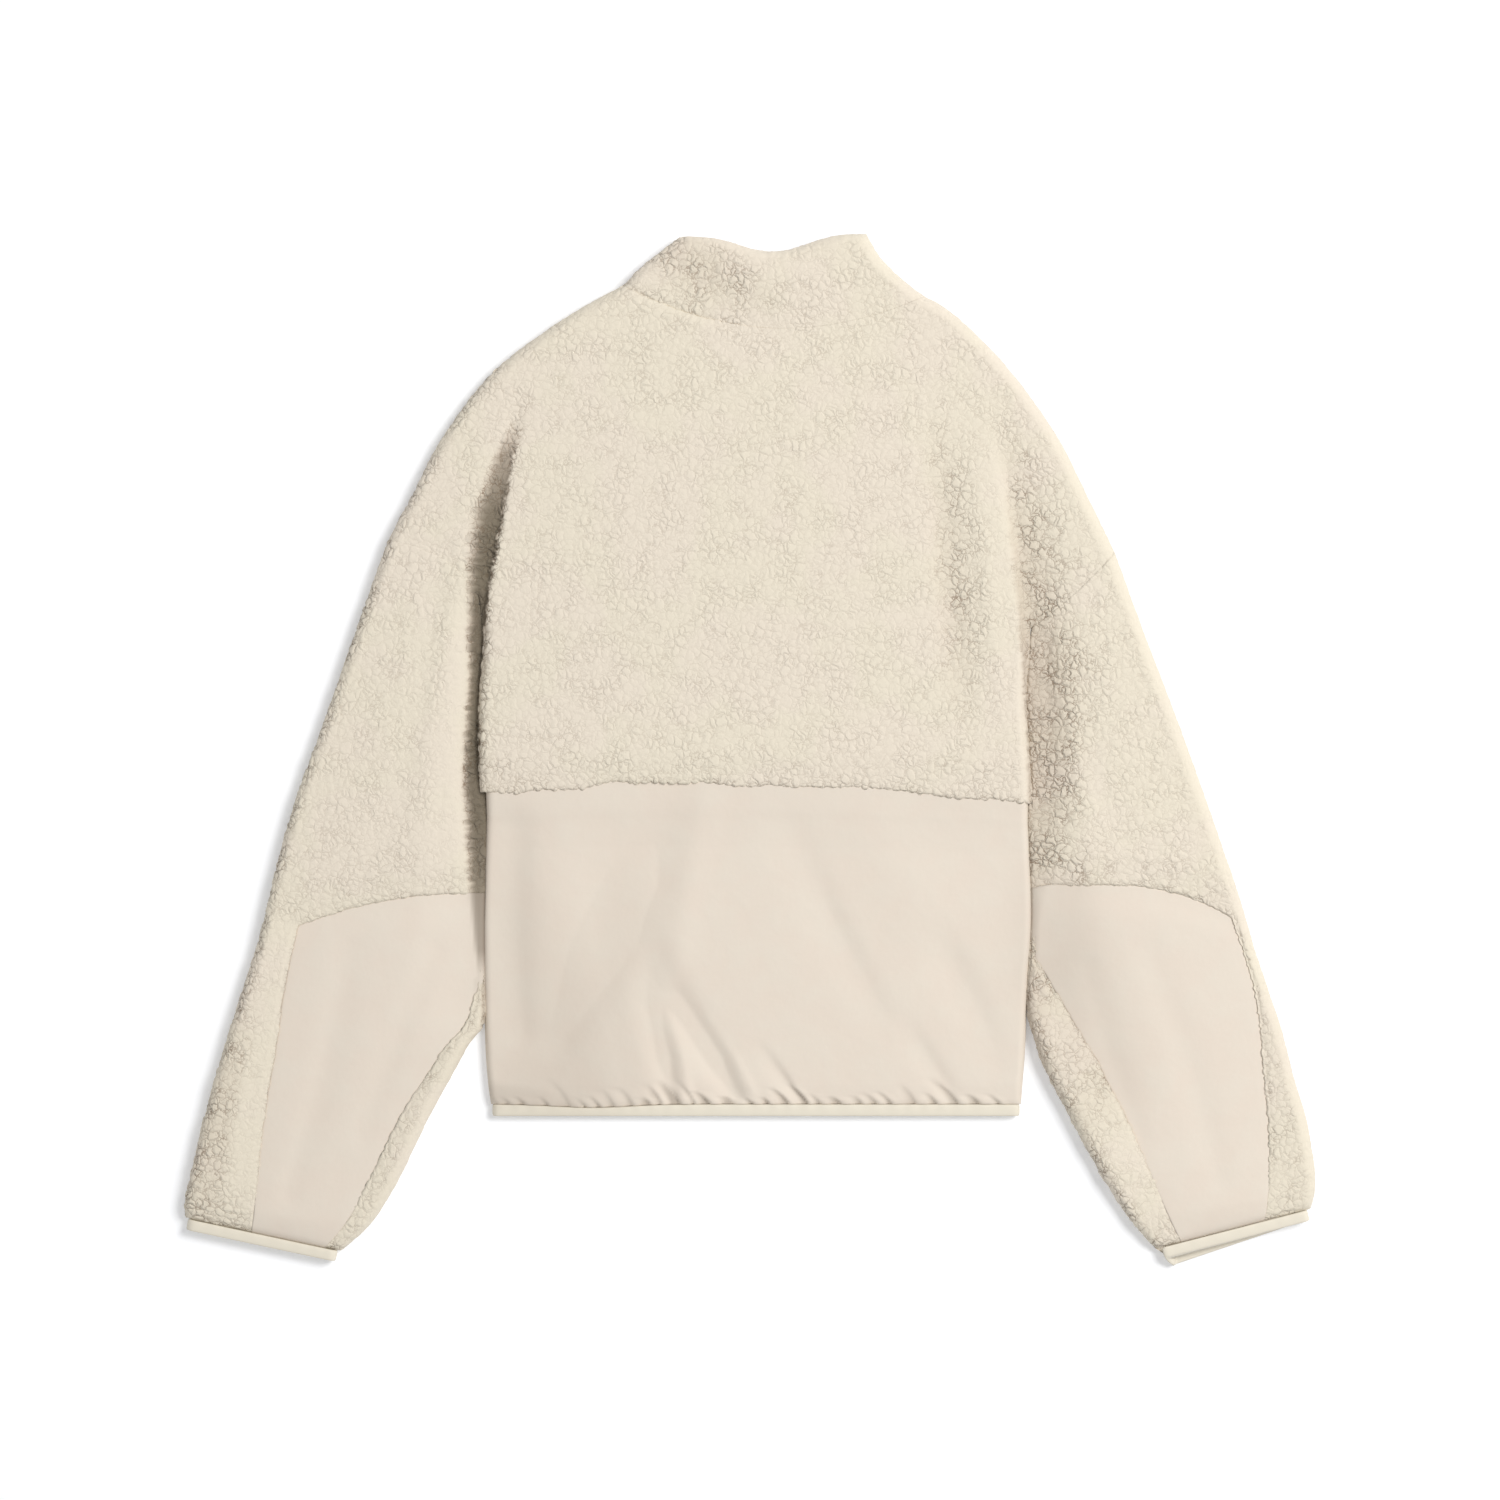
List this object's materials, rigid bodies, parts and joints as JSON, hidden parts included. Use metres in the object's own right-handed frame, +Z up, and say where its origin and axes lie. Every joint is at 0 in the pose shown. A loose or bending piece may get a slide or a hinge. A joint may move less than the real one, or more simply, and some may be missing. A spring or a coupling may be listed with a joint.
{
  "type": "sherpa jacket",
  "caption": "Cropped stand-collar jacket of sherpa fleece with woven lower panels and elbow panels, laid flat with its back up.",
  "frame": {"origin": "centre of the jacket's box in plan, on the surface that it lies on", "axes": "+X to the wearer's right, the longest way across the sleeves; +Y to the collar; +Z up, out of the jacket's back"},
  "size_m": [0.8466, 0.7722, 0.022],
  "materials": {
    "sherpa": "cream sherpa fleece with tight curls, matte",
    "woven": "cream plain woven cloth, smooth, with a faint sheen",
    "binding": "cream elastic binding with a fine rib, matte",
    "zip_tape": "cream twill tape and coil",
    "zip_metal": "cream enamelled zinc, satin"
  },
  "bodies": {
    "jacket": {"collar_back": "sherpa", "collar_front_left": "sherpa", "collar_front_right": "sherpa", "yoke_back": "sherpa", "lower_back": "woven", "front_upper_left": "sherpa", "front_upper_right": "sherpa", "front_lower_left": "woven", "front_lower_right": "woven", "sleeve_left_top": "sherpa", "elbow_left": "woven", "sleeve_left_under": "sherpa", "cuff_left": "binding", "sleeve_right_top": "sherpa", "elbow_right": "woven", "sleeve_right_under": "sherpa", "cuff_right": "binding", "hem_binding": "binding", "zip_tape_left": "zip_tape", "zip_tape_right": "zip_tape", "zip_teeth": "zip_tape", "zip_box": "zip_metal", "zip_slider": "zip_metal"},
    "zip_pull_tab": {"zip_pull": "zip_metal"}
  },
  "joints": [
    {"name": "pull_tab_swing", "type": "hinge", "parent": "jacket", "child": "zip_pull_tab", "pos_m": [0.01717, 0.30974, 0.0031], "axis": [1, 0, 0], "range_deg": [0, 170]}
  ]
}
